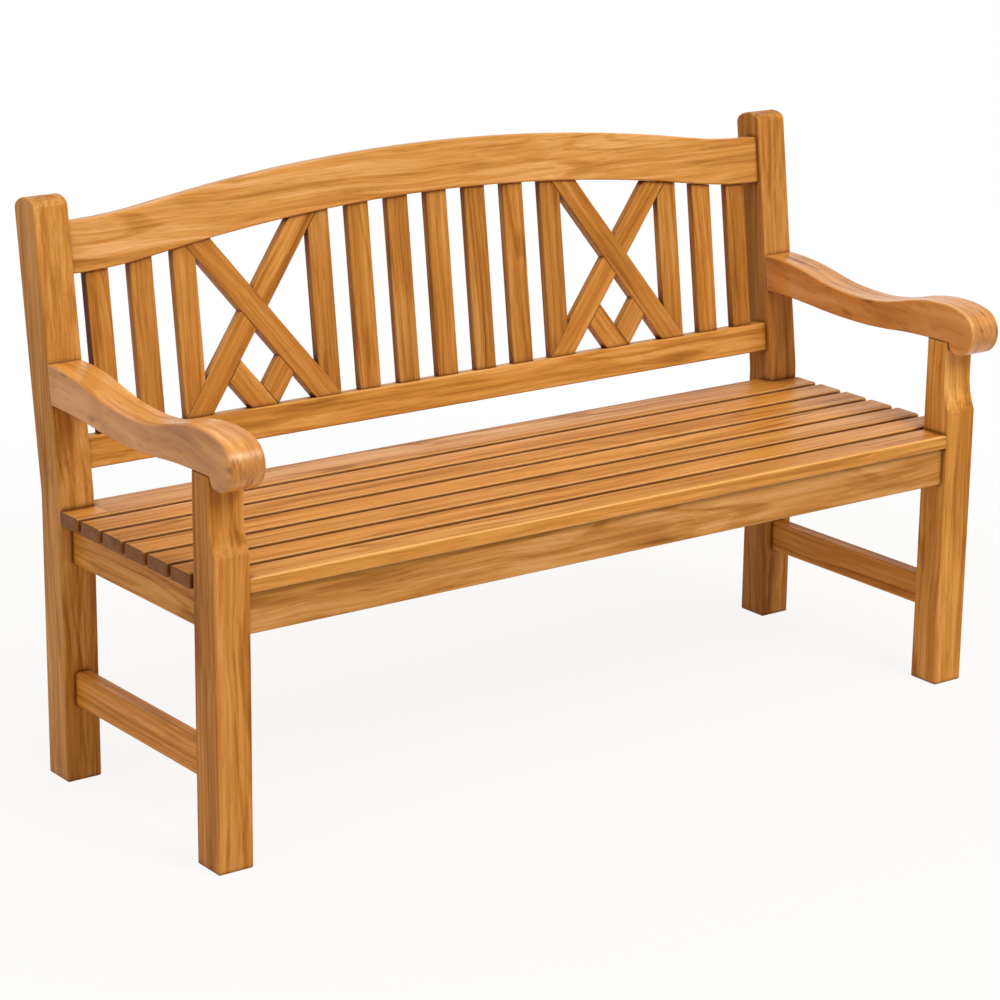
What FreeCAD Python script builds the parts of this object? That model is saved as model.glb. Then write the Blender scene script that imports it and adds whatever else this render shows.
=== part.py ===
import FreeCAD, Part
import math
import os

# Three-seat teak garden bench with scrolled arms, an arched back and two cross panels.
# Millimetres. +Z is up, the sitter faces -Y, and the origin is on the floor below the middle of the bench.

V = FreeCAD.Vector

# Legs
bench_width = 1500.0           # over the outer faces of the legs
leg_setting = 450.0            # front face of a front leg to front face of a rear leg
leg_width = 60.0               # legs and arms, along X
leg_depth = 60.0               # legs, front to back
leg_edge = 2.0                 # chamfer of the long edges of legs and arms
foot_chamfer = 2.0
shoulder_above_seat = 158.0    # top of a front leg, under the arm
front_leg_step = 14.0          # the front face steps back above the seat
cove_above_seat = 38.0         # crisp lower edge of the coved step
cove_height = 57.0
rake = 7.5                     # lean of the back, degrees
bend_above_seat = 5.0          # where the rear legs start to bend
bend_radius = 150.0            # inside of the bend
post_above_rail = 25.0         # along the rake, from the top rail's end to where the rounded top starts
post_corner_radius = 14.0      # front and back corners of the rounded top
post_crown_rise = 4.0          # of the flat crown above the corners

# Seat
seat_height = 445.0
seat_slat_thickness = 22.0
seat_slat_gap = 12.0
seat_front_setback = 2.0       # front slat behind the front of the legs
rear_slat_overlap = 22.0       # rear slat over the rear rail
filler_depth = 52.0            # blocks in front of the rear legs
seat_edge = 3.5                # rounding of the slats' top edges
long_slats = 5                 # slats that run past the side rails
seat_rail_height = 66.0
seat_rail_thickness = 26.0
side_rail_inset = 20.0         # side rails behind the outer faces of the legs
front_rail_setback = 11.0
rear_rail_setback = 6.0
bearer_width = 34.0
bearer_height = 58.0
stretcher_bottom = 126.0
stretcher_height = 54.0
stretcher_inset = 18.0
rail_edge = 2.0                # chamfer of the long edges of rails

# Back, along the rake from the knee of the rear legs
back_rail_setback = 9.0        # rails behind the front of the rear legs
back_rail_thickness = 30.0
bottom_rail_start = 37.0
bottom_rail_height = 50.0
top_rail_start = 338.0         # lower edge of the arched rail at its ends
top_rail_height = 80.0
arch_rise = 57.0
arch_shoulder_radius = 900.0   # hollow curve at the ends of the arch
back_slat_width = 41.0
back_slat_thickness = 14.0
back_end_space = 48.0          # axis of an outermost slat to the leg beside it
middle_slats = 5               # free slats between the cross panels
end_slats = 2                  # free slats outside each cross panel
panel_span = 252.0             # between the axes of the slats beside a cross panel
batten_edge = 1.5              # chamfer of the front edges of slats and battens
cross_width = 40.0
cross_proud = 2.0              # unbroken diagonal in front of the slats
cross_backing = 2.0            # battens behind the slats
cross_top_inset = 22.0         # top of a diagonal inside the outer edge of its slat

# Arms, heights from the shoulder of the front leg
arm_hump_depth = 64.0          # highest point, over the front leg
arm_dip_setback = 225.0        # lowest point of the elbow hollow
arm_dip_drop = 8.0
arm_dip_depth = 45.0
arm_rear_lift = 4.0
arm_rear_depth = 63.0
arm_landing = 4.0              # level stretch behind the front leg
scroll_crown_radius = 180.0
scroll_crown_turn = 17.0       # degrees of the flat crown before the nose
scroll_nose_radius = 38.0
scroll_hook_drop = 18.0        # lowest point of the scroll, below the shoulder of the leg
scroll_tail = 20.0             # from the lowest point back to where the scroll ends
scroll_gap = 2.0               # from there to the front face of the leg

# Joints
tenon_thickness = 12.0
tenon_shoulder = 8.0           # above and below a rail's tenon
tenon_wall = 4.0               # wood left between two tenons in one leg
side_tenon_length = 28.0
back_tenon_length = 30.0
arm_tenon_width = 24.0
arm_tenon_length = 26.0
leg_tenon_width = 30.0
leg_tenon_depth = 24.0
leg_tenon_height = 26.0
bearer_tenon_length = 12.0
stub_tenon_length = 12.0
stub_tenon_thickness = 8.0
stub_shoulder = 5.0            # beside a slat's stub tenon
joint_slack = 0.2              # round tenons and laps
curve_gap = 0.3                # below the hollowed edge of the top rail
peg_radius = 4.0
peg_slack = 0.25
peg_end_gap = 1.0
peg_cover = 12.0               # wood left in front of a peg's blind end
loose_tenon_width = 24.0       # loose tenons hold the slats on the rails
loose_tenon_thickness = 8.0
loose_in_rail = 18.0
loose_in_slat = 12.0
end_tenon_inset = 60.0         # from the ends of the front and rear slats
inner_tenon_offset = 210.0     # from the middle of the front and rear slats

# Places that follow from the sizes
outer_x = -bench_width / 2
inner_x = outer_x + leg_width
front_leg_height = seat_height + shoulder_above_seat
lean = math.radians(rake)
bend_start = seat_height + bend_above_seat
knee_height = bend_start + (leg_depth + bend_radius) * math.tan(lean / 2)
post_length = top_rail_start + top_rail_height + post_above_rail
crown_turn = math.radians(scroll_crown_turn)
nose_level = (arm_hump_depth - scroll_crown_radius
              + (scroll_crown_radius - scroll_nose_radius) * math.cos(crown_turn))
hook_radius = nose_level + scroll_hook_drop
tail_radius = (scroll_tail ** 2 + scroll_hook_drop ** 2) / (2 * scroll_hook_drop)
nose_reach = hook_radius + scroll_tail + scroll_gap - front_leg_step
hump_setback = (scroll_crown_radius * math.sin(crown_turn)
                + scroll_nose_radius * (1 - math.sin(crown_turn)) - nose_reach)
rear_reach = (leg_setting + post_length * math.sin(lean)
              + (leg_depth - post_corner_radius) * math.cos(lean) + post_corner_radius)
front_y = (nose_reach - rear_reach) / 2        # front faces of the front legs
rear_y = front_y + leg_setting                 # front faces of the rear legs, below the bend
front_slat_y = front_y + seat_front_setback
rear_slat_y = rear_y - filler_depth
slat_pitch = (rear_slat_y - front_slat_y) / (long_slats + 1)
seat_slat_width = slat_pitch - seat_slat_gap
slat_bottom = seat_height - seat_slat_thickness
rail_bottom = slat_bottom - seat_rail_height
side_rail_x = outer_x + side_rail_inset
side_rail_axis = side_rail_x + seat_rail_thickness / 2
front_rail_y = front_y + front_rail_setback
rear_rail_y = rear_y + rear_rail_setback
cross_tenon_length = inner_x - side_rail_axis - tenon_thickness / 2 - tenon_wall
bottom_rail_top = bottom_rail_start + bottom_rail_height
back_axis = back_rail_setback + back_rail_thickness / 2
slat_front = back_axis - back_slat_thickness / 2
slat_back = back_axis + back_slat_thickness / 2
batten_back = slat_back + cross_backing
main_front = slat_front - cross_proud
half_slat = back_slat_width / 2
back_slat_pitch = (-inner_x - panel_span - back_end_space) / ((middle_slats + 1) / 2 + end_slats)
panel_centre = (middle_slats + 1) / 2 * back_slat_pitch + panel_span / 2

nodes = {}


# Helpers

def block(x0, x1, y0, y1, z0, z1):
    return Part.makeBox(x1 - x0, y1 - y0, z1 - z0, V(x0, y0, z0))


def grown(box, slack):
    """The box of a tenon with room round it, for its mortise."""
    b = box.BoundBox
    return block(b.XMin - slack, b.XMax + slack, b.YMin - slack, b.YMax + slack,
                 b.ZMin - slack, b.ZMax + slack)


def chamfered(shape, size, wanted):
    """Cuts a chamfer along the edges for which wanted(edge) holds."""
    return shape.makeChamfer(size, [edge for edge in shape.Edges if wanted(edge)])


def runs_along(edge, axis):
    ends = edge.Vertexes
    if len(ends) < 2:
        return False
    step = ends[1].Point - ends[0].Point
    return abs(step.dot(axis)) > 0.999 * step.Length


def front_chamfered(bar, size, axis):
    """Chamfers the two long edges at the front of a bar."""
    front = bar.BoundBox.YMin + 0.001
    return chamfered(bar, size, lambda edge: edge.BoundBox.YMax < front and runs_along(edge, axis))


def rail_bar(x0, x1, y0, y1, z0, z1, axis):
    """A straight rail with its four long edges chamfered."""
    return chamfered(block(x0, x1, y0, y1, z0, z1), rail_edge, lambda edge: runs_along(edge, axis))


def mirrored(shape):
    return shape.mirror(V(0, 0, 0), V(1, 0, 0))


def both_ends(shape):
    return [shape, mirrored(shape)]


def raked(shape):
    """Takes a piece from the upright plane of the back to the lean of the rear legs."""
    placed = shape.copy()
    placed.rotate(V(0, 0, 0), V(1, 0, 0), -rake)
    placed.translate(V(0, rear_y, knee_height))
    return placed


def raked_point(depth, height):
    y = rear_y + depth * math.cos(lean) + height * math.sin(lean)
    z = knee_height + height * math.cos(lean) - depth * math.sin(lean)
    return V(0, y, z)


def post_front_at(z):
    """Y of the leaning front face of the rear legs at a height above the bend."""
    return rear_y + (z - knee_height) * math.tan(lean)


def arc_about(start, centre, end):
    """Arc of less than half a turn."""
    radius = (start - centre).Length
    middle = (start - centre) + (end - centre)
    middle.normalize()
    return Part.Arc(start, centre + middle * radius, end).toShape()


def ogee(start, end, first_share=0.5):
    """Two arcs with level ends; they meet on the chord, where the first one has its share of the run."""
    run = V(end.x - start.x, end.y - start.y, 0).Length
    rise = end.z - start.z
    total_radius = (run ** 2 + rise ** 2) / (2 * rise)
    meeting = start + (end - start) * first_share
    first = arc_about(start, start + V(0, 0, total_radius * first_share), meeting)
    second = arc_about(meeting, end - V(0, 0, total_radius * (1 - first_share)), end)
    return [first, second]


def line(start, end):
    return Part.LineSegment(start, end).toShape()


def extruded(edges, along):
    return Part.Face(Part.Wire(edges)).extrude(along)


def in_side_outline(edge):
    """Edge of a leg or arm that lies in its inner or outer side face."""
    return edge.BoundBox.XLength < 0.001


def whole(shape):
    return shape.removeSplitter().Solids[0]


def add(name, shape):
    nodes[name] = whole(shape)


def add_pair(name, left):
    add(name + "_left", left)
    add(name + "_right", mirrored(left))


# Tenons at the left end of the bench, with the rails that carry them

def side_tenons(x, bottom, height):
    """Front and rear tenon of a rail between a front leg and a rear leg."""
    x0 = x + (seat_rail_thickness - tenon_thickness) / 2
    x1 = x0 + tenon_thickness
    z0 = bottom + tenon_shoulder
    z1 = bottom + height - tenon_shoulder
    back_of_leg = front_y + leg_depth
    front = block(x0, x1, back_of_leg - side_tenon_length, back_of_leg, z0, z1)
    rear = block(x0, x1, rear_y, rear_y + side_tenon_length, z0, z1)
    return front, rear


def side_rail(x, bottom, height):
    bar = rail_bar(x, x + seat_rail_thickness, front_y + leg_depth, rear_y,
                   bottom, bottom + height, V(0, 1, 0))
    return bar.fuse(side_tenons(x, bottom, height))


def long_tenon(y):
    """Left tenon of a seat rail between two front legs or two rear legs."""
    y0 = y + (seat_rail_thickness - tenon_thickness) / 2
    return block(inner_x - cross_tenon_length, inner_x, y0, y0 + tenon_thickness,
                 rail_bottom + tenon_shoulder, slat_bottom - tenon_shoulder)


def long_rail(y):
    bar = rail_bar(inner_x, -inner_x, y, y + seat_rail_thickness, rail_bottom, slat_bottom, V(1, 0, 0))
    return bar.fuse(both_ends(long_tenon(y)))


def back_tenon(start, height):
    """Left tenon of a back rail, in the upright plane of the back."""
    return block(inner_x - back_tenon_length, inner_x,
                 back_axis - tenon_thickness / 2, back_axis + tenon_thickness / 2,
                 start + tenon_shoulder, start + height - tenon_shoulder)


stretcher_x = outer_x + stretcher_inset
seat_side_tenons = side_tenons(side_rail_x, rail_bottom, seat_rail_height)
stretcher_tenons = side_tenons(stretcher_x, stretcher_bottom, stretcher_height)
front_tenon = long_tenon(front_rail_y)
rear_tenon = long_tenon(rear_rail_y)
top_tenon = back_tenon(top_rail_start, top_rail_height)
bottom_tenon = back_tenon(bottom_rail_start, bottom_rail_height)

# The arm's rear tenon is square to the leaning leg, so it is laid out in the plane of the back.
arm_rear_under = front_leg_height + arm_rear_lift
arm_rear_top = arm_rear_under + arm_rear_depth
leg_axis = (outer_x + inner_x) / 2
arm_tenon_start = (arm_rear_under - knee_height) / math.cos(lean) + 2 * tenon_shoulder
arm_tenon_end = (arm_rear_top - knee_height) / math.cos(lean) - tenon_shoulder
arm_tenon = block(leg_axis - arm_tenon_width / 2, leg_axis + arm_tenon_width / 2, 0, arm_tenon_length,
                  arm_tenon_start, arm_tenon_end)
leg_tenon_y = front_y + (front_leg_step + leg_depth) / 2
leg_tenon = block(leg_axis - leg_tenon_width / 2, leg_axis + leg_tenon_width / 2,
                  leg_tenon_y - leg_tenon_depth / 2, leg_tenon_y + leg_tenon_depth / 2,
                  front_leg_height, front_leg_height + leg_tenon_height)


# Legs

def leg_from(edges):
    leg = extruded(edges, V(leg_width, 0, 0))
    leg = chamfered(leg, leg_edge, lambda edge: in_side_outline(edge) and edge.BoundBox.ZMax > foot_chamfer)
    return chamfered(leg, foot_chamfer, lambda edge: edge.BoundBox.ZMax < 0.001)


def post_top_edges(front, back):
    """Rounded top of a rear leg: two small corners with a flat crown between them, all tangent."""
    across = (back - front).normalize()
    up = V(0, math.sin(lean), math.cos(lean))
    inset = leg_depth / 2 - post_corner_radius
    sink = (inset ** 2 - post_crown_rise ** 2) / (2 * post_crown_rise)
    crown_centre = (front + back) * 0.5 - up * sink
    crown_radius = sink + post_crown_rise + post_corner_radius
    front_centre = front + across * post_corner_radius
    back_centre = back - across * post_corner_radius
    crown_front = crown_centre + (front_centre - crown_centre).normalize() * crown_radius
    crown_back = crown_centre + (back_centre - crown_centre).normalize() * crown_radius
    return [
        arc_about(front, front_centre, crown_front),
        arc_about(crown_front, crown_centre, crown_back),
        arc_about(crown_back, back_centre, back),
    ]


def rear_leg():
    bend_centre = V(outer_x, rear_y + leg_depth + bend_radius, bend_start)
    leaning = V(0, -math.cos(lean), math.sin(lean))
    side = V(outer_x, 0, 0)
    foot_front = V(outer_x, rear_y, 0)
    foot_back = V(outer_x, rear_y + leg_depth, 0)
    bend_front = V(outer_x, rear_y, bend_start)
    bend_back = V(outer_x, rear_y + leg_depth, bend_start)
    bend_front_end = bend_centre + leaning * (leg_depth + bend_radius)
    bend_back_end = bend_centre + leaning * bend_radius
    top_front = side + raked_point(0, post_length)
    top_back = side + raked_point(leg_depth, post_length)
    leg = leg_from([
        line(foot_front, bend_front),
        arc_about(bend_front, bend_centre, bend_front_end),
        line(bend_front_end, top_front),
        *post_top_edges(top_front, top_back),
        line(top_back, bend_back_end),
        arc_about(bend_back_end, bend_centre, bend_back),
        line(bend_back, foot_back),
        line(foot_back, foot_front),
    ])
    upright = [seat_side_tenons[1], stretcher_tenons[1], rear_tenon]
    leaning_tenons = [top_tenon, bottom_tenon, arm_tenon]
    mortises = [grown(tenon, joint_slack) for tenon in upright]
    mortises += [raked(grown(tenon, joint_slack)) for tenon in leaning_tenons]
    return leg.cut(mortises)


def front_leg():
    back = front_y + leg_depth
    stepped = front_y + front_leg_step
    cove_foot = seat_height + cove_above_seat
    cove_top = cove_foot + cove_height
    cove_radius = (cove_height ** 2 + front_leg_step ** 2) / (2 * front_leg_step)
    foot = V(outer_x, front_y, 0)
    cove_start = V(outer_x, front_y, cove_foot)
    cove_end = V(outer_x, stepped, cove_top)
    cove_centre = V(outer_x, stepped - cove_radius, cove_top)
    shoulder_front = V(outer_x, stepped, front_leg_height)
    shoulder_back = V(outer_x, back, front_leg_height)
    foot_back = V(outer_x, back, 0)
    leg = leg_from([
        line(foot, cove_start),
        arc_about(cove_start, cove_centre, cove_end),
        line(cove_end, shoulder_front),
        line(shoulder_front, shoulder_back),
        line(shoulder_back, foot_back),
        line(foot_back, foot),
    ])
    tenons = (seat_side_tenons[0], stretcher_tenons[0], front_tenon)
    return leg.fuse(leg_tenon).cut([grown(tenon, joint_slack) for tenon in tenons])


add_pair("rear_leg", rear_leg())
add_pair("front_leg", front_leg())


# Scrolled arm: its outline runs from the hump over the nose, under the hook and back to the post

def scroll_edges(hump):
    """Crown, nose, hook and tail of the scroll, each arc tangent to the one before."""
    crown_centre = hump - V(0, 0, scroll_crown_radius)
    turned = V(0, -math.sin(crown_turn), math.cos(crown_turn))
    crown_end = crown_centre + turned * scroll_crown_radius
    nose_centre = crown_end - turned * scroll_nose_radius
    nose = nose_centre - V(0, scroll_nose_radius, 0)
    hook_centre = nose + V(0, hook_radius, 0)
    hook_bottom = hook_centre - V(0, 0, hook_radius)
    tail_centre = hook_bottom + V(0, 0, tail_radius)
    tail_end = hook_bottom + V(0, scroll_tail, scroll_hook_drop)
    edges = [
        arc_about(hump, crown_centre, crown_end),
        arc_about(crown_end, nose_centre, nose),
        arc_about(nose, hook_centre, hook_bottom),
        arc_about(hook_bottom, tail_centre, tail_end),
    ]
    return edges, tail_end


def arm():
    hump = V(outer_x, front_y + hump_setback, front_leg_height + arm_hump_depth)
    landing = V(outer_x, front_y + leg_depth + arm_landing, front_leg_height)
    dip_under = V(outer_x, front_y + arm_dip_setback, front_leg_height - arm_dip_drop)
    dip_top = dip_under + V(0, 0, arm_dip_depth)
    rear_under = V(outer_x, post_front_at(arm_rear_under), arm_rear_under)
    rear_top = V(outer_x, post_front_at(arm_rear_top), arm_rear_top)
    edges, tail_end = scroll_edges(hump)
    edges.append(line(tail_end, landing))
    edges += ogee(landing, dip_under)
    edges += ogee(dip_under, rear_under)
    edges.append(line(rear_under, rear_top))
    edges += ogee(rear_top, dip_top)
    edges += ogee(dip_top, hump)
    solid = extruded(edges, V(leg_width, 0, 0))
    butt = (rear_under + rear_top) * 0.5

    def exposed(edge):
        return in_side_outline(edge) and abs(edge.CenterOfMass.y - butt.y) > leg_edge

    solid = chamfered(solid, leg_edge, exposed)
    return solid.fuse(raked(arm_tenon)).cut(grown(leg_tenon, joint_slack))


add_pair("arm", arm())


# Rails under the seat and between the legs

def bearer_tenons():
    width = bearer_width - 2 * tenon_shoulder
    z0 = slat_bottom - bearer_height + tenon_shoulder
    z1 = slat_bottom - loose_in_rail - tenon_wall
    front = front_rail_y + seat_rail_thickness
    return [block(-width / 2, width / 2, front - bearer_tenon_length, front, z0, z1),
            block(-width / 2, width / 2, rear_rail_y, rear_rail_y + bearer_tenon_length, z0, z1)]


bearer = rail_bar(-bearer_width / 2, bearer_width / 2, front_rail_y + seat_rail_thickness, rear_rail_y,
                  slat_bottom - bearer_height, slat_bottom, V(0, 1, 0))
bearer_sockets = [grown(tenon, joint_slack) for tenon in bearer_tenons()]
add_pair("side_seat_rail", side_rail(side_rail_x, rail_bottom, seat_rail_height))
add_pair("side_stretcher", side_rail(stretcher_x, stretcher_bottom, stretcher_height))
add("front_seat_rail", long_rail(front_rail_y).cut(bearer_sockets))
add("rear_seat_rail", long_rail(rear_rail_y).cut(bearer_sockets))
add("seat_centre_bearer", bearer.fuse(bearer_tenons()))


# Seat slats, numbered from the back, and the blocks in front of the rear legs

def seat_slat(x0, x1, y0, y1):
    slat = block(x0, x1, y0, y1, slat_bottom, seat_height)
    long_edges = [edge for edge in slat.Edges if runs_along(edge, V(1, 0, 0))]
    return slat.makeFillet(seat_edge, [edge for edge in long_edges if edge.BoundBox.ZMin > slat_bottom])


between_legs = inner_x + joint_slack
rear_slat_end = rear_rail_y + rear_slat_overlap
add("seat_slat_1", seat_slat(between_legs, -between_legs, rear_slat_y, rear_slat_end))
for number in range(long_slats):
    y = rear_slat_y - (number + 1) * slat_pitch
    add(f"seat_slat_{number + 2}", seat_slat(outer_x, -outer_x, y, y + seat_slat_width))
front_slat_name = f"seat_slat_{long_slats + 2}"
add(front_slat_name, seat_slat(between_legs, -between_legs, front_slat_y, front_slat_y + seat_slat_width))
add_pair("seat_filler", seat_slat(outer_x, inner_x, rear_slat_y, rear_y))


# Back: laid out upright, with X across, Y as depth behind the front of the rear legs and Z along the rake

def arch_edges(end_height):
    """The arch from the left leg to the right leg: a crown between two hollow shoulders."""
    left = V(inner_x, 0, end_height)
    crown = V(0, 0, end_height + arch_rise)
    right = V(-inner_x, 0, end_height)
    total_radius = (inner_x ** 2 + arch_rise ** 2) / (2 * arch_rise)
    shoulder_share = arch_shoulder_radius / total_radius
    return ogee(left, crown, shoulder_share) + ogee(crown, right, 1 - shoulder_share)


def arch_height(x):
    """Height of the top rail's lower edge."""
    total_radius = (inner_x ** 2 + arch_rise ** 2) / (2 * arch_rise)
    crown_radius = total_radius - arch_shoulder_radius
    from_end = -inner_x - abs(x)
    if from_end < arch_shoulder_radius / total_radius * -inner_x:
        lift = arch_shoulder_radius - math.sqrt(arch_shoulder_radius ** 2 - from_end ** 2)
    else:
        lift = arch_rise - crown_radius + math.sqrt(crown_radius ** 2 - x ** 2)
    return top_rail_start + lift


def arched(bottom_edges, top_edges, y0, y1):
    """Solid between two runs of edges that end above one another."""
    left = line(bottom_edges[0].Vertexes[0].Point, top_edges[0].Vertexes[0].Point)
    right = line(bottom_edges[-1].Vertexes[-1].Point, top_edges[-1].Vertexes[-1].Point)
    wire = Part.Wire(Part.__sortEdges__(bottom_edges + [right] + top_edges + [left]))
    solid = Part.Face(wire).extrude(V(0, y1 - y0, 0))
    solid.translate(V(0, y0, 0))
    return solid


def back_slat_centres():
    middle = [(i - (middle_slats - 1) / 2) * back_slat_pitch for i in range(middle_slats)]
    beside = [panel_centre - panel_span / 2, panel_centre + panel_span / 2]
    outside = [beside[1] + (i + 1) * back_slat_pitch for i in range(end_slats)]
    right = beside + outside
    return [-x for x in reversed(right)] + middle + right


def stub_tenons(x):
    """Lower and upper stub tenon of a back slat; each starts inside the slat."""
    half = half_slat - stub_shoulder
    y0 = back_axis - stub_tenon_thickness / 2
    y1 = back_axis + stub_tenon_thickness / 2
    return [block(x - half, x + half, y0, y1, height - stub_tenon_length, height + stub_tenon_length)
            for height in (bottom_rail_top, arch_height(x))]


def strip(point, angle, width, y0, y1, behind, ahead, edge=0.0):
    """Straight batten through a point of the back, at an angle to level, with its front edges chamfered."""
    bar = block(-behind, ahead, y0, y1, -width / 2, width / 2)
    if edge:
        bar = front_chamfered(bar, edge, V(1, 0, 0))
    bar.rotate(V(0, 0, 0), V(0, 1, 0), -math.degrees(angle))
    bar.translate(point)
    return bar


def meeting_distance(point, angle, other, other_angle):
    """Distance along one line of the back to where it meets another."""
    gap = other - point
    cross = math.cos(angle) * math.sin(other_angle) - math.sin(angle) * math.cos(other_angle)
    return (gap.x * math.sin(other_angle) - gap.z * math.cos(other_angle)) / cross


def diagonal_line(centre, side):
    """Axis of a diagonal from the upper corner of its panel down to the other side (+1 right, -1 left).

    Its lower edge starts at the top inset; its upper edge ends at the outer edge of the far slat."""
    reach = panel_span / 2 + half_slat
    top = V(centre - side * (reach - cross_top_inset), 0, 0)
    top.z = arch_height(top.x)
    foot = V(centre + side * reach, 0, bottom_rail_top)
    across = abs(foot.x - top.x)
    drop = top.z - foot.z
    slope = math.atan2(drop, across) + math.asin(cross_width / math.hypot(across, drop))
    axis_point = top + V(side * math.sin(slope), 0, math.cos(slope)) * (cross_width / 2)
    heading = -slope if side > 0 else math.pi + slope
    return axis_point, heading, slope


field = arched([line(V(inner_x, 0, bottom_rail_top), V(-inner_x, 0, bottom_rail_top))],
               arch_edges(top_rail_start - curve_gap), 0, leg_depth)
field_height = top_rail_start + arch_rise
lap = back_axis
slat_centres = back_slat_centres()
slats = {}
for x in slat_centres:
    bar = block(x - half_slat, x + half_slat, slat_front, slat_back, bottom_rail_top, field_height)
    slats[x] = front_chamfered(bar, batten_edge, V(0, 0, 1)).common(field).fuse(stub_tenons(x))


def cross_panel(name, centre):
    """Two diagonals that lap each other and the slats beside them, with two short battens below."""
    main_point, main_heading, main_slope = diagonal_line(centre, 1)
    under_point, under_heading, under_slope = diagonal_line(centre, -1)
    run = panel_span + field_height

    def main_strip(width, y0, y1, edge=0.0):
        return strip(main_point, main_heading, width, y0, y1, run, run, edge)

    def under_strip(width, y0, y1, edge=0.0):
        return strip(under_point, under_heading, width, y0, y1, run, run, edge)

    loose = cross_width + 2 * joint_slack
    beside = [centre - panel_span / 2, centre + panel_span / 2]
    half_room = half_slat + joint_slack
    slat_room = [block(x - half_room, x + half_room, lap, leg_depth, 0, field_height) for x in beside]
    main = main_strip(cross_width, main_front, batten_back, batten_edge).common(field)
    under = under_strip(cross_width, slat_front, batten_back, batten_edge).common(field)
    add(f"cross_{name}_main", raked(main.cut(slat_room + [under_strip(loose, lap, leg_depth)])))
    add(f"cross_{name}_under", raked(under.cut(slat_room + [main_strip(loose, 0, lap)])))
    notches = [main_strip(loose, 0, lap).common(field), under_strip(loose, 0, lap).common(field)]
    for x in beside:
        slats[x] = slats[x].cut(notches)

    foot = V(centre, 0, bottom_rail_top)
    half_foot = cross_width / 2 / math.sin(main_slope)
    rising = math.pi - main_slope
    reach = meeting_distance(foot, rising, under_point, under_heading)
    first = strip(foot, rising, cross_width, slat_front, batten_back, cross_width, reach, batten_edge)
    upward = V(-math.sin(under_slope), 0, math.cos(under_slope))
    other_foot = foot + V(half_foot, 0, 0) + upward * (cross_width / 2)
    down = meeting_distance(other_foot, under_slope, foot, rising)
    up = meeting_distance(other_foot, under_slope, main_point, main_heading)
    second = strip(other_foot, under_slope, cross_width, slat_front, batten_back, -down, up, batten_edge)
    first_room = strip(foot, rising, cross_width, 0, leg_depth, run, run)
    add(f"cross_{name}_short_a", raked(first.common(field).cut(under_strip(cross_width, 0, leg_depth))))
    add(f"cross_{name}_short_b",
        raked(second.common(field).cut([first_room, main_strip(cross_width, 0, leg_depth)])))


cross_panel("left", -panel_centre)
cross_panel("right", panel_centre)
for number, x in enumerate(slat_centres, 1):
    add(f"back_slat_{number:02d}", raked(slats[x]))

slat_sockets = [grown(tenon, joint_slack) for x in slat_centres for tenon in stub_tenons(x)]
top_rail = arched(arch_edges(top_rail_start), arch_edges(top_rail_start + top_rail_height),
                  back_rail_setback, back_rail_setback + back_rail_thickness)
top_rail = chamfered(top_rail, rail_edge,
                     lambda edge: edge.BoundBox.YLength < 0.001 and edge.BoundBox.XLength > 0.001)
bottom_rail = rail_bar(inner_x, -inner_x, back_rail_setback, back_rail_setback + back_rail_thickness,
                       bottom_rail_start, bottom_rail_top, V(1, 0, 0))
add("back_top_rail", raked(top_rail.fuse(both_ends(top_tenon)).cut(slat_sockets)))
add("back_bottom_rail", raked(bottom_rail.fuse(both_ends(bottom_tenon)).cut(slat_sockets)))


# Pegs from behind through the tenons of the back rails, and loose tenons under the slats.
# Each has a hole with slack in every piece that it enters.

def pin(start, along, length):
    return Part.makeCylinder(peg_radius, length, start, along)


def bore(start, along, length, past_start):
    """Hole for a pin, deeper than the pin; it starts before the pin by past_start."""
    return Part.makeCylinder(peg_radius + peg_slack, past_start + length + peg_end_gap,
                             start - along * past_start, along)


def drill(names, hole):
    for name in names:
        nodes[name] = whole(nodes[name].cut(hole))


def peg_pair(start, height, rail_name):
    """Pegs through the tenons of a back rail, with blind ends in the rear legs."""
    centre = V(inner_x - back_tenon_length / 2, leg_depth, start + height / 2)
    forward = V(0, -1, 0)
    length = leg_depth - peg_cover
    peg = raked(pin(centre, forward, length))
    hole = raked(bore(centre, forward, length, peg_end_gap))
    drill(["rear_leg_left", rail_name], hole)
    drill(["rear_leg_right", rail_name], mirrored(hole))
    return [peg, mirrored(peg)]


pegs = peg_pair(top_rail_start, top_rail_height, "back_top_rail")
pegs += peg_pair(bottom_rail_start, bottom_rail_height, "back_bottom_rail")

loose_tenons = []


def loose_tenon(x, y, names, half_x=loose_tenon_thickness / 2, half_y=loose_tenon_width / 2):
    """Loose tenon half in a slat and half in the rail or bearer under it."""
    tenon = block(x - half_x, x + half_x, y - half_y, y + half_y,
                  slat_bottom - loose_in_rail, slat_bottom + loose_in_slat)
    drill(names, grown(tenon, joint_slack))
    loose_tenons.append(tenon)


sides = (("left", side_rail_axis), ("right", -side_rail_axis))
for number in range(long_slats):
    slat_name = f"seat_slat_{number + 2}"
    slat_axis = rear_slat_y - (number + 1) * slat_pitch + seat_slat_width / 2
    loose_tenon(0, slat_axis, [slat_name, "seat_centre_bearer"])
    for side, x in sides:
        loose_tenon(x, slat_axis, [slat_name, f"side_seat_rail_{side}"])
for side, x in sides:
    loose_tenon(x, (rear_slat_y + rear_y) / 2, [f"seat_filler_{side}", f"side_seat_rail_{side}"])
end_tenon_x = -inner_x - end_tenon_inset
across = {"half_x": loose_tenon_width / 2, "half_y": loose_tenon_thickness / 2}
for x in (-end_tenon_x, -inner_tenon_offset, inner_tenon_offset, end_tenon_x):
    loose_tenon(x, rear_rail_y + rear_slat_overlap / 2, ["seat_slat_1", "rear_seat_rail"], **across)
    loose_tenon(x, front_rail_y + seat_rail_thickness / 2, [front_slat_name, "front_seat_rail"], **across)

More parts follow.
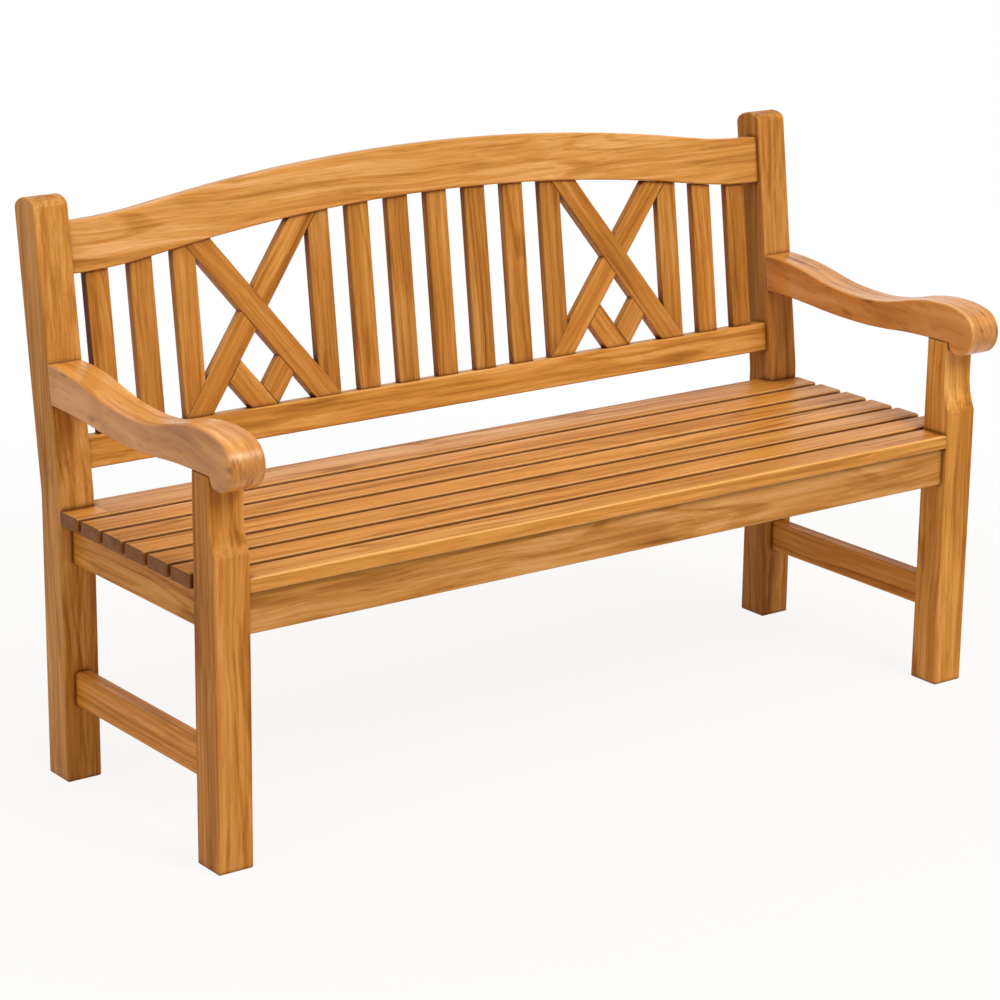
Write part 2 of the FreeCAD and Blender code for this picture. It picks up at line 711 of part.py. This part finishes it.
os.makedirs("parts", exist_ok=True)
for name, shape in nodes.items():
    shape.exportStep(f"parts/{name}.step")
Part.makeCompound(pegs).exportStep("parts/joint_pegs.step")
Part.makeCompound(loose_tenons).exportStep("parts/seat_loose_tenons.step")
print(len(nodes) + 2, "nodes")
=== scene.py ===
# %% [markdown]
# A teak garden bench, seen from its left front corner.
# The joiner's solids are already exact: legs, scrolled arms, rails, seat slats and the crossed back.
# This lesson keeps those solids and spends its effort on the wood, because a bench like this is
# all wood: every board needs its own grain direction, its own figure and its own tone.

# %% Load the bench
import bpy
import bmesh
import math
from mathutils import Matrix, Vector


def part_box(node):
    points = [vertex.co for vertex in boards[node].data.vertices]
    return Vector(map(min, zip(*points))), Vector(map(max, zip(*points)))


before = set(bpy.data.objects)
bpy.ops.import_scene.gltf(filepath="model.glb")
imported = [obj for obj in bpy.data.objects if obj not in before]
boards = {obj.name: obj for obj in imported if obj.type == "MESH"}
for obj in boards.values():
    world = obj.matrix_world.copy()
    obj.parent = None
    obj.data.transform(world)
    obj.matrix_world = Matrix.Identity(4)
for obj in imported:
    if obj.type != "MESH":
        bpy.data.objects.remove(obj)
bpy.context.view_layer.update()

# %% [markdown]
# The camera stands left of the bench, well in front of it and at head height, with a long lens.
# A long lens far away keeps the legs almost parallel, as a catalogue picture does.
# The place was worked out from the corners of the feet, the seat and the back, so no shift is needed.
# Yaw, pitch and a slight roll are applied one after the other, which is easier to follow than one matrix.

# %% Camera
camera_place = Vector((-2.9453, -3.8828, 1.8250))
camera_yaw = -0.6402
camera_pitch = -0.2876
camera_roll = 0.0118
focal_pixels = 3128.0
image_pixels = 1000
sensor_millimetres = 36.0
farthest_metres = 100.0

lens_data = bpy.data.cameras.new("bench_camera")
lens_data.sensor_width = sensor_millimetres
lens_data.lens = focal_pixels / image_pixels * sensor_millimetres
lens_data.clip_end = farthest_metres
camera = bpy.data.objects.new("bench_camera", lens_data)
bpy.context.scene.collection.objects.link(camera)
camera.matrix_world = (Matrix.Translation(camera_place)
                       @ Matrix.Rotation(camera_yaw, 4, "Z")
                       @ Matrix.Rotation(math.pi / 2 + camera_pitch, 4, "X")
                       @ Matrix.Rotation(camera_roll, 4, "Z"))
bpy.context.scene.camera = camera
print("lens", round(lens_data.lens, 1), "mm")

# %% [markdown]
# Three helpers keep the material cells short.
# Wood colours are easiest to judge as screen values from 0 to 255, while the shader wants linear light,
# so one helper converts. Another hands out an empty node tree. The last one adds a node, sets its values
# and connects its inputs in one call.

# %% Helpers for colours and nodes
def paint(red, green, blue):
    """Screen values from 0 to 255 as a colour in linear light."""
    def linear(value):
        value /= 255
        return value / 12.92 if value <= 0.04045 else ((value + 0.055) / 1.055) ** 2.4
    return (linear(red), linear(green), linear(blue), 1.0)


def empty_tree(owner):
    """Node tree of a new material or world, with nothing in it."""
    owner.use_nodes = True
    owner.node_tree.nodes.clear()
    return owner.node_tree


def add_node(tree, kind, settings=None, inputs=None):
    """New node; an input given as a socket is linked, any other input is set."""
    node = tree.nodes.new(kind)
    for name, value in (settings or {}).items():
        setattr(node, name, value)
    for key, value in (inputs or {}).items():
        if isinstance(value, bpy.types.NodeSocket):
            tree.links.new(value, node.inputs[key])
        else:
            node.inputs[key].default_value = value
    return node


print("honey in linear light", [round(v, 3) for v in paint(205, 138, 68)[:3]])

# %% [markdown]
# Almost everything in wood is longer than it is wide, so the basic texture is noise drawn out along one
# axis. The other helpers are the small tools of a node tree: stretch a range, combine values, mix colours.
# As functions they read like a recipe, where the same nodes wired by hand would fill pages.

# %% Helpers for patterns
def drawn_out(tree, space, across, along):
    """Space for a texture: features measure about 1/across by 1/along metres."""
    scaled = add_node(tree, "ShaderNodeMapping", {}, {"Vector": space, "Scale": (across, across, along)})
    return scaled.outputs["Vector"]


def noise(tree, space, across, along, detail, roughness=0.55, distortion=0.0, output="Fac"):
    """Noise from 0 to 1, about one half in the mean."""
    return add_node(tree, "ShaderNodeTexNoise", {}, {
        "Vector": drawn_out(tree, space, across, along), "Scale": 1.0, "Detail": detail,
        "Roughness": roughness, "Distortion": distortion}).outputs[output]


def spread(tree, value, low, high, to_low=0.0, to_high=1.0, smooth=True):
    """Maps low..high to to_low..to_high, and keeps the ends."""
    kind = "SMOOTHSTEP" if smooth else "LINEAR"
    return add_node(tree, "ShaderNodeMapRange", {"interpolation_type": kind}, {
        "Value": value, "From Min": low, "From Max": high,
        "To Min": to_low, "To Max": to_high}).outputs["Result"]


def sums(tree, operation, first, second=0.0):
    """One step of arithmetic."""
    step = add_node(tree, "ShaderNodeMath", {"operation": operation}, {0: first, 1: second})
    return step.outputs["Value"]


def dot(tree, first, second):
    """1 where two directions agree, 0 where they are square to each other."""
    product = add_node(tree, "ShaderNodeVectorMath", {"operation": "DOT_PRODUCT"}, {0: first, 1: second})
    return product.outputs["Value"]


def mixed(tree, factor, first, second, blend="MIX"):
    """Mix of two colours. The node's colours are its inputs 6 and 7, and the result is its output 2."""
    return add_node(tree, "ShaderNodeMix", {"data_type": "RGBA", "blend_type": blend}, {
        0: factor, 6: first, 7: second}).outputs[2]


print("helpers: drawn_out, noise, spread, sums, dot, mixed")

# %% [markdown]
# A board is a slice of a trunk, so its pattern is solid: layers round the pith, drawn out along the trunk.
# A picture wrapped round the board would show the same lines on every face. A pattern in space does not:
# the faces agree at the edges, curved pieces cut through the layers, and sawn ends show arcs.
# The board's own space has the grain along Z. It is Object space, turned by a Mapping node, and shifted so
# that each board lies somewhere else in the trunk. No tree grows quite straight, so a slow noise then makes
# all lines sway together by a few millimetres.

# %% Board space
sway_across = 3.0
sway_along = 4.0
sway_width = 0.018


def board_space(tree, object_space, place, grain, in_trunk, layers):
    """Object space turned until the grain runs along Z, with the board's middle at in_trunk.

    layers stretches the pattern along an axis of the bench where it is less than 1."""
    turn = Vector(grain).normalized().rotation_difference(Vector((0, 0, 1)))
    shift = Vector(in_trunk) - turn @ (place * Vector(layers))
    straight = add_node(tree, "ShaderNodeMapping", {}, {
        "Vector": object_space, "Location": shift,
        "Rotation": turn.to_euler(), "Scale": layers}).outputs["Vector"]
    sway = noise(tree, straight, sway_across, sway_along, detail=1.0, roughness=0.5, output="Color")
    return add_node(tree, "ShaderNodeVectorMath", {"operation": "MULTIPLY_ADD"}, {
        0: sway, 1: (sway_width, sway_width, 0.0), 2: straight}).outputs["Vector"]


print("lines sway by up to", sway_width * 500, "mm to a side")

# %% [markdown]
# Oiled teak is honey coloured with soft brown streaks that run along the grain for a hand's length or two.
# Several things lie over one another: wide tonal clouds, streaks, finer lines, and growth rings.
# Clouds, streaks and lines are noise drawn out along the grain.
# Rings are drawn as contour lines: a smooth drawn-out noise is a landscape, and its level lines close into
# the long flames that a saw uncovers on a flat-sawn board. They stay faint and show in some zones only.
# Here and there lies a short dark fleck, a finger's width long.

# %% Figure of the wood
contour_density = 95.0
ring_strength = 0.19
middle_tone = 0.53


def growth_rings(tree, space, clouds):
    """Dark lines of late wood, where the clouds allow them."""
    hills = noise(tree, space, across=10.0, along=0.9, detail=1.5, roughness=0.4)
    waves = sums(tree, "SINE", sums(tree, "MULTIPLY", hills, contour_density))
    late_wood = spread(tree, waves, low=0.35, high=1.0)
    zone = spread(tree, clouds, low=0.44, high=0.62)
    return sums(tree, "MULTIPLY", late_wood, zone)


def teak_figure(tree, space, fleck_strength):
    """One value from dark to pale, about one half in the middle: what the eye reads as the figure."""
    clouds = noise(tree, space, across=9.0, along=1.3, detail=2.0)
    streaks = noise(tree, space, across=44.0, along=1.8, detail=3.0, distortion=0.8)
    lines = noise(tree, space, across=150.0, along=2.6, detail=2.0, roughness=0.6)
    weights = [(clouds, 0.60), (streaks, 0.88), (lines, 0.75)]
    value = middle_tone - sum(weight for _, weight in weights) / 2
    for layer, weight in weights:
        value = sums(tree, "ADD", sums(tree, "MULTIPLY", layer, weight), value)
    rings = sums(tree, "MULTIPLY", growth_rings(tree, space, clouds), ring_strength)
    specks = noise(tree, space, across=110.0, along=11.0, detail=1.0)
    flecks = spread(tree, specks, low=0.64, high=0.72, to_high=fleck_strength)
    return sums(tree, "SUBTRACT", value, sums(tree, "ADD", rings, flecks))


print("three layers of noise, and", round(contour_density / math.tau, 1), "rings over the full height")

# %% [markdown]
# A colour ramp turns the figure into wood: dark streak, brown, honey and pale honey.
# The stops are closer together in the middle, because most of a board is one tone.
# Each board can be a little lighter, darker, redder or yellower, so the ramp is made once per board.

# %% Honey colours
teak_stops = [
    (0.12, (130, 76, 22)),
    (0.36, (171, 110, 43)),
    (0.53, (194, 131, 58)),
    (0.82, (217, 160, 93)),
]


def teak_colour(tree, figure, shade, tint):
    """Ramp from dark streak to pale honey, with shade and tint as factors on its screen values."""
    ramp = add_node(tree, "ShaderNodeValToRGB", {}, {"Fac": figure})
    elements = ramp.color_ramp.elements
    while len(elements) < len(teak_stops):
        elements.new(0.5)
    for element, (place, colour) in zip(elements, teak_stops):
        element.position = place
        element.color = paint(*[part * shade * tone for part, tone in zip(colour, tint)])
    return ramp.outputs["Color"]


print(len(teak_stops), "stops from dark streak to pale honey")

# %% [markdown]
# Close up, teak has fine fibres and short open pores that hold dark oil.
# They are too small to model and too coarse to leave out: seen from a metre they break up the gloss.
# Both colour the surface a little, and later drive a shallow bump.

# %% Fibres and pores
pore_colour = paint(112, 62, 22)
pore_strength = 0.22
fibres_per_metre = 420.0
fibre_relief = 0.5


def fibres_and_pores(tree, space, colour):
    """Colour with fibres and pores, and their relief."""
    fibres = noise(tree, space, across=fibres_per_metre, along=7.0, detail=2.0, roughness=0.6)
    holes = noise(tree, space, across=760.0, along=30.0, detail=0.0)
    pores = spread(tree, holes, low=0.64, high=0.74)
    lighter = spread(tree, fibres, low=0.3, high=0.7, to_low=0.94, to_high=1.04, smooth=False)
    colour = mixed(tree, 1.0, colour, lighter, "MULTIPLY")
    colour = mixed(tree, sums(tree, "MULTIPLY", pores, pore_strength), colour, pore_colour)
    relief = sums(tree, "SUBTRACT", sums(tree, "MULTIPLY", fibres, fibre_relief), pores)
    return colour, relief


print("bundles of fibres about", round(1000 / fibres_per_metre, 1), "mm wide")

# %% [markdown]
# Edges are eased with sandpaper and chafed by clothes, so they are paler, and the paler colour is also a
# painted highlight where they catch the light. The Bevel node rounds the shading of an edge without more
# faces, and where it differs from the true surface there is an edge. The seat slats have a real rounding,
# which the Bevel node hardly notices. There the surface faces up and forward at once, so the product of
# those two directions finds it, and a painted highlight runs along it.

# %% Pale edges and painted highlights
pale_edge_and_highlight_colour = paint(238, 182, 112)
bevel_samples = 6


def pale_edges_and_highlights(tree, object_normal, colour, finish):
    """Colour with paler edges, partly wear and partly painted highlight, and the normal of the eased
    surface.
    """
    bevel = add_node(tree, "ShaderNodeBevel", {"samples": bevel_samples}, {"Radius": finish["eased"]})
    eased = bevel.outputs["Normal"]
    true_normal = add_node(tree, "ShaderNodeNewGeometry").outputs["Normal"]
    # Paler where the eased normal turns from the true one: partly wear, partly a painted highlight.
    wear_and_highlight = spread(tree, dot(tree, eased, true_normal), low=0.995, high=0.90, to_high=finish["edge_wear_and_highlight"])
    if finish["rim_highlight"]:
        # Painted highlight on the seat's rounded edges, where the surface faces up and forward.
        faces = add_node(tree, "ShaderNodeSeparateXYZ", {}, {0: object_normal}).outputs
        turning = sums(tree, "ABSOLUTE", sums(tree, "MULTIPLY", faces["Y"], faces["Z"]))
        rim_highlight = spread(tree, turning, low=0.15, high=0.42, to_high=finish["rim_highlight"])
        wear_and_highlight = sums(tree, "MAXIMUM", wear_and_highlight, rim_highlight)
    return mixed(tree, wear_and_highlight, colour, pale_edge_and_highlight_colour), eased


print("edges rubbed to", [round(v, 3) for v in pale_edge_and_highlight_colour[:3]])

# %% [markdown]
# Sawn ends drink more oil, so end grain is darker and rougher. It is found where the surface faces along
# the grain.
# The gaps between slats and the joints hold painted shade. Ambient occlusion over a short distance finds
# those places and paints them a dark brown that stays under any light.

# %% Sawn ends and painted crevice shade
end_colour = paint(104, 58, 22)
crevice_shade_colour = paint(95, 47, 7)
least_unshaded = 0.05
crevice_shade_samples = 6


def sawn_ends(tree, object_normal, grain, colour, finish):
    """Colour with dark ends, and where the ends are."""
    along_grain = sums(tree, "ABSOLUTE", dot(tree, object_normal, grain))
    across_board = spread(tree, along_grain, low=0.80, high=0.97)
    ends = sums(tree, "MULTIPLY", across_board, finish["sawn_ends"])
    return mixed(tree, ends, colour, end_colour), ends


def painted_crevice_shade(tree, colour, finish):
    """Colour with painted shade where other wood stands close round a point."""
    openness = add_node(tree, "ShaderNodeAmbientOcclusion", {"samples": crevice_shade_samples}, {
        "Distance": finish["crevice"]}).outputs["AO"]
    low, high = finish["painted_crevice_shade"]
    # Painted shade: the closer other wood stands round a point, the more its colour turns dark brown.
    unshaded = spread(tree, openness, low, high, to_low=least_unshaded)
    return mixed(tree, unshaded, crevice_shade_colour, colour)


print("end grain", [round(v, 3) for v in end_colour[:3]])

# %% [markdown]
# Now the parts come together in one material. Dark streaks drink more oil and stay duller than the pale
# wood between them, so roughness follows the figure, and the ends are dull too. The oil leaves a thin film,
# so the wood is a plain dielectric with a soft gloss, stronger where hands and clothes polish it.

# %% Teak material
end_roughness = 0.2
relief_strength = 0.2
relief_depth = 0.0006
oil_index = 1.45


def teak(name, place, grain, in_trunk, finish):
    """Teak for one board: its middle, its grain, its place in the trunk and its finish."""
    material = bpy.data.materials.new(name)
    tree = empty_tree(material)
    grain = Vector(grain).normalized()
    coordinates = add_node(tree, "ShaderNodeTexCoord").outputs
    space = board_space(tree, coordinates["Object"], place, grain, in_trunk, finish["layers"])
    figure = teak_figure(tree, space, finish["flecks"])
    colour = teak_colour(tree, figure, finish["shade"], finish["tint"])
    colour, relief = fibres_and_pores(tree, space, colour)
    colour, eased = pale_edges_and_highlights(tree, coordinates["Normal"], colour, finish)
    colour, ends = sawn_ends(tree, coordinates["Normal"], grain, colour, finish)
    # Painted shade in the gaps and joints.
    colour = painted_crevice_shade(tree, colour, finish)
    dull, polished = finish["rough"]
    polish = spread(tree, figure, low=0.25, high=0.80, to_low=dull, to_high=polished, smooth=False)
    rough = sums(tree, "ADD", polish, sums(tree, "MULTIPLY", ends, end_roughness))
    bump = add_node(tree, "ShaderNodeBump", {}, {
        "Height": relief, "Strength": relief_strength, "Distance": relief_depth, "Normal": eased})
    wood = add_node(tree, "ShaderNodeBsdfPrincipled", {}, {
        "Base Color": colour, "Roughness": rough, "Normal": bump.outputs["Normal"],
        "IOR": oil_index, "Specular IOR Level": finish["gloss"]})
    add_node(tree, "ShaderNodeOutputMaterial", {}, {"Surface": wood.outputs["BSDF"]})
    return material


print("teak of index", oil_index, "with", relief_depth * 1000, "mm of relief")

# %% [markdown]
# A joiner lays the grain along the length of each piece, because wood is strong that way.
# Legs stand on their grain, rails and slats run left to right, arms and stretchers front to back.
# The back leans, so its slats and diagonals have a grain that lies in the leaning plane.
# Even the scrolled arm and the arched rail are sawn from straight boards: their grain runs straight
# through the curves, and comes out as end grain at the nose of the scroll.

# %% Grain directions
back_lean = math.radians(7.5)
flat_diagonal = math.radians(51.1)
steep_diagonal = math.radians(53.5)
leg_rake = 0.07
arm_rise = 0.02


def in_back(across, up):
    """Direction in the plane of the back."""
    return Vector((across, up * math.sin(back_lean), up * math.cos(back_lean)))


along_x = Vector((1, 0, 0))
along_y = Vector((0, 1, 0))
upright = Vector((0, 0, 1))
falling_left = in_back(math.cos(flat_diagonal), -math.sin(flat_diagonal))
rising_left = in_back(math.cos(steep_diagonal), math.sin(steep_diagonal))
falling_right = in_back(math.cos(steep_diagonal), -math.sin(steep_diagonal))
rising_right = in_back(math.cos(flat_diagonal), math.sin(flat_diagonal))
grain_by_name = [
    ("front_leg", upright),
    ("rear_leg", Vector((0, leg_rake, 1))),
    ("arm", Vector((0, 1, arm_rise))),
    ("side_", along_y),
    ("seat_centre_bearer", along_y),
    ("back_slat", in_back(0, 1)),
    ("cross_left_main", falling_left),
    ("cross_left_short_a", falling_left),
    ("cross_left_under", rising_left),
    ("cross_left_short_b", rising_left),
    ("cross_right_main", falling_right),
    ("cross_right_short_a", falling_right),
    ("cross_right_under", rising_right),
    ("cross_right_short_b", rising_right),
    ("seat_loose_tenons", upright),
]


def grain_of(name):
    """Grain of a piece, by the start of its name; left to right where the list has none."""
    for start, direction in grain_by_name:
        if name.startswith(start):
            return direction
    return along_x


print("diagonal grain", [round(v, 3) for v in falling_left])

# %% [markdown]
# One finish serves the whole bench, and some pieces depart from it.
# The seat and the arms are polished by use. Seat slats have dark sawn ends, painted shade in their gaps,
# and pale rounded edges that also carry a painted highlight. The pattern of the arms is stretched upwards,
# so that their scrolls stay calm. Lengths are in metres: crevice is how far the painted shade looks for a
# neighbour, eased is the radius of an edge.
# Legs and rails differ a little in shade and tint, as boards from several trees do.

# %% Finish of each piece
plain_finish = {
    "shade": 1.0,
    "tint": (1.0, 1.0, 1.0),
    "flecks": 0.08,
    "sawn_ends": 0.15,
    "crevice": 0.010,
    "painted_crevice_shade": (0.40, 0.92),
    "eased": 0.0018,
    "edge_wear_and_highlight": 0.35,
    "rim_highlight": 0.0,
    "gloss": 0.13,
    "rough": (0.48, 0.27),
    "layers": (1.0, 1.0, 1.0),
}
pale_tint = (1.02, 1.065, 1.22)
arm_finish = {
    "sawn_ends": 0.28,
    "gloss": 0.60,
    "rough": (0.40, 0.20),
    "layers": (1.0, 1.0, 0.25),
}
own_finish = {
    "seat": {"shade": 1.06, "tint": (1.0, 1.0, 0.92), "sawn_ends": 0.85, "crevice": 0.020,
             "painted_crevice_shade": (0.66, 0.93), "eased": 0.005, "edge_wear_and_highlight": 0.55, "rim_highlight": 0.65, "gloss": 0.28},
    # The two arms differ in shade as painted light: the left arm is lighter where its outer side catches
    # light, the right arm darker where its inner side stands in shade.
    "arm_left": {"shade": 1.08, "flecks": 0.30, **arm_finish},
    "arm_right": {"shade": 1.02, "flecks": 0.40, **arm_finish},
    "front_leg_left": {"tint": (1.01, 0.99, 0.94)},
    "front_leg_right": {"shade": 1.07, "tint": (1.0, 1.03, 1.09)},
    "rear_leg_left": {"shade": 0.98, "tint": (1.0, 1.02, 1.06)},
    "rear_leg_right": {"shade": 0.96},
    "side_stretcher_left": {"shade": 1.12},
    "side_stretcher_right": {"shade": 1.05},
    "side_seat_rail": {"shade": 1.03, "tint": (1.0, 1.0, 0.94)},
    "front_seat_rail": {"tint": pale_tint},
    "back_top_rail": {"shade": 1.01, "tint": pale_tint},
    "back_bottom_rail": {"shade": 1.06, "tint": (1.02, 1.06, 1.12)},
    # The back slats look further for neighbours, so painted shade darkens their sides.
    "back_slat": {"shade": 0.97, "crevice": 0.060},
    "joint_pegs": {"shade": 0.72},
}


def finish_of(name):
    """The plain finish, with the values of its own that a piece has."""
    own = next((own_finish[start] for start in own_finish if name.startswith(start)), {})
    return {**plain_finish, **own}


print(len(own_finish), "kinds of pieces depart from the plain finish")

# %% [markdown]
# No two boards of a bench match. Each gets its own place in the trunk and its own shade, a few percent
# lighter or darker. The places follow a fixed sequence of even jumps, so every run gives the same bench.
# A small tilt of the grain makes the lines cross a long face at a slant, as they do on real boards.

# %% Give every board its teak
grain_tilt = 0.04
shade_range = 0.07
trunk_start = (0.05, 0.04, 0.0)
trunk_reach = (0.09, 0.08, 7.0)
trunk_jumps = (0.6180, 0.3247, 0.8191)
tilt_jumps = (0.7548, 0.5698)
shade_jump = 0.4656


def share(number, jump):
    """A number from 0 to 1 that jumps about evenly from board to board."""
    return (number * jump) % 1.0


for number, name in enumerate(sorted(boards), 1):
    low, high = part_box(name)
    tilt_x, tilt_y = [share(number, jump) - 0.5 for jump in tilt_jumps]
    grain = grain_of(name).normalized() + Vector((tilt_x, tilt_y, 0.0)) * grain_tilt
    in_trunk = [start + reach * share(number, jump)
                for start, reach, jump in zip(trunk_start, trunk_reach, trunk_jumps)]
    finish = finish_of(name)
    finish["shade"] *= 1.0 + shade_range * (share(number, shade_jump) - 0.5)
    material = teak("teak_" + name, (low + high) / 2, grain, in_trunk, finish)
    boards[name].data.materials.clear()
    boards[name].data.materials.append(material)

print("teak on", len(boards), "pieces")

# %% [markdown]
# The studio is plain: a wide pale floor and a white surround.
# The floor is a flat grid, so wide that its far edge is lost in the white.
# It is part of the studio and not of the bench.

# %% Floor
floor_half_width = 20.0

floor_shape = bmesh.new()
bmesh.ops.create_grid(floor_shape, x_segments=2, y_segments=2, size=floor_half_width)
floor_mesh = bpy.data.meshes.new("studio_floor")
floor_shape.to_mesh(floor_mesh)
floor_shape.free()
floor = bpy.data.objects.new("studio_floor", floor_mesh)
bpy.context.scene.collection.objects.link(floor)
print("floor", floor.dimensions[:])

# %% [markdown]
# The floor is real enough to take the bench's shadow and to throw light back up under the seat. That light
# is a shade warm, like light that has passed between many wooden slats.
# Seen directly or in a reflection, the floor is mostly a white glow, so that it runs into the background
# without a horizon. The glow is a little weaker near the bench, where the shadow has to show.
# The Light Path node tells such rays apart, so a white background puts no more light on the bench.

# %% Floor paint
floor_tone = (0.80, 0.73, 0.63, 1.0)
plain_white = (1.0, 1.0, 1.0, 1.0)
glow_near = 0.89
glow_starts = 0.6
glow_full = 2.2


def background_rays(tree):
    """1 for a ray that shows the background: from the camera, or by way of gloss or glass."""
    rays = add_node(tree, "ShaderNodeLightPath").outputs
    shown = sums(tree, "MAXIMUM", rays["Is Camera Ray"], rays["Is Glossy Ray"])
    return sums(tree, "MAXIMUM", shown, rays["Is Transmission Ray"])


floor_paint = bpy.data.materials.new("pale_floor")
floor_tree = empty_tree(floor_paint)
matt = add_node(floor_tree, "ShaderNodeBsdfDiffuse", {}, {"Color": floor_tone})
glow = add_node(floor_tree, "ShaderNodeEmission", {}, {"Color": plain_white, "Strength": 1.0})
floor_place = add_node(floor_tree, "ShaderNodeTexCoord").outputs["Object"]
away = add_node(floor_tree, "ShaderNodeVectorMath", {"operation": "LENGTH"}, {0: floor_place})
fade = spread(floor_tree, away.outputs["Value"], glow_starts, glow_full, to_low=glow_near)
seen = sums(floor_tree, "MULTIPLY", background_rays(floor_tree), fade)
both = add_node(floor_tree, "ShaderNodeMixShader", {}, {
    0: seen, 1: matt.outputs["BSDF"], 2: glow.outputs["Emission"]})
add_node(floor_tree, "ShaderNodeOutputMaterial", {}, {"Surface": both.outputs["Shader"]})
floor_mesh.materials.append(floor_paint)
print("glow from", glow_near, "near the bench to 1.0 at", glow_full, "m")

# %% [markdown]
# The room itself gives a dim warm light from all sides, which keeps the shade honey brown.
# To the camera, and in reflections, the room is plain white, by the same rule as for the floor.

# %% White room
room_tone = (1.0, 0.85, 0.65, 1.0)
room_level = 0.43

world = bpy.data.worlds.new("white_room")
bpy.context.scene.world = world
room = empty_tree(world)
ambient = add_node(room, "ShaderNodeBackground", {}, {"Color": room_tone, "Strength": room_level})
white = add_node(room, "ShaderNodeBackground", {}, {"Color": plain_white, "Strength": 1.0})
surround = add_node(room, "ShaderNodeMixShader", {}, {
    0: background_rays(room), 1: ambient.outputs["Background"], 2: white.outputs["Background"]})
add_node(room, "ShaderNodeOutputWorld", {}, {"Surface": surround.outputs["Shader"]})
print("room light", room_level)

# %% [markdown]
# Three large soft lamps shape the bench. The main lamp stands in front of it and a little to its right, so
# front faces are bright and the left sides fall into a warm half shade. A second lamp hangs above and lifts
# the seat and the arms. A faint third one on the left keeps the side of the arm from going dull.
# The level is plain: a face turned to the lamps shows its colour about as it was mixed.

# %% Lamps
def soft_lamp(name, place, target, size, level):
    """Square lamp; level is how bright it alone makes a white card at the target.

    A lamp of W watts lights a card that faces it at r metres to a level of W / (pi * r) ** 2."""
    lamp = bpy.data.lights.new(name, "AREA")
    lamp.size = size
    way = Vector(target) - Vector(place)
    lamp.energy = level * (math.pi * way.length) ** 2
    stand = bpy.data.objects.new(name, lamp)
    bpy.context.scene.collection.objects.link(stand)
    stand.location = place
    stand.rotation_euler = way.to_track_quat("-Z", "Y").to_euler()
    print(name, round(lamp.energy), "W")


soft_lamp("main_lamp", (0.8, -3.4, 3.7), (0, 0, 0.5), size=1.8, level=0.61)
soft_lamp("top_lamp", (-1.0, -0.4, 4.2), (0, 0, 0.4), size=3.2, level=0.38)
soft_lamp("left_lamp", (-4.0, -0.6, 2.6), (0, 0, 0.5), size=2.0, level=0.07)

# %% [markdown]
# Colours should leave the render as they were mixed, so the view transform is the standard one.

# %% Finish
bpy.context.scene.view_settings.view_transform = "Standard"
